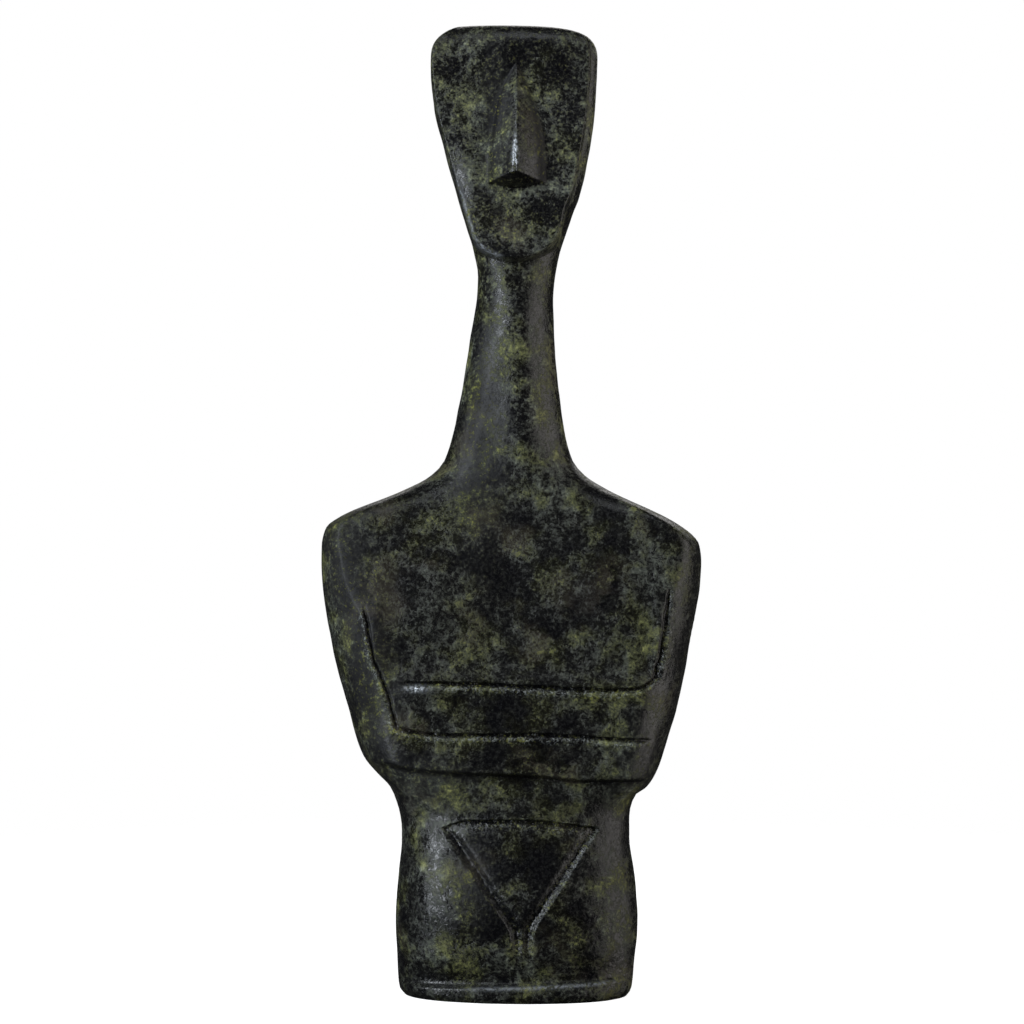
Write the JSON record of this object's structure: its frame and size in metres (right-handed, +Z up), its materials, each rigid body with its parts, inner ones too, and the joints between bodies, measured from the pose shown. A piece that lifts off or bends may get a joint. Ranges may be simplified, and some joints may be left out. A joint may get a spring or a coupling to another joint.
{
  "type": "cycladic figurine",
  "caption": "Half-length folded-arm idol with a shield-shaped face, long neck and incised lines, cast in patinated bronze and cut flat below to stand on a shelf.",
  "frame": {"origin": "on the flat underside, where the figure's centre line meets what it stands on", "axes": "+Z up through the crown, -Y the way the face looks, +X towards the figure's own left arm"},
  "size_m": [0.0864, 0.0325, 0.22],
  "materials": {
    "patinated_bronze": "cast bronze under a mottled green-black patina with olive flecks, waxed to a soft sheen"
  },
  "bodies": {
    "root": {"figurine": "patinated_bronze"}
  },
  "joints": []
}
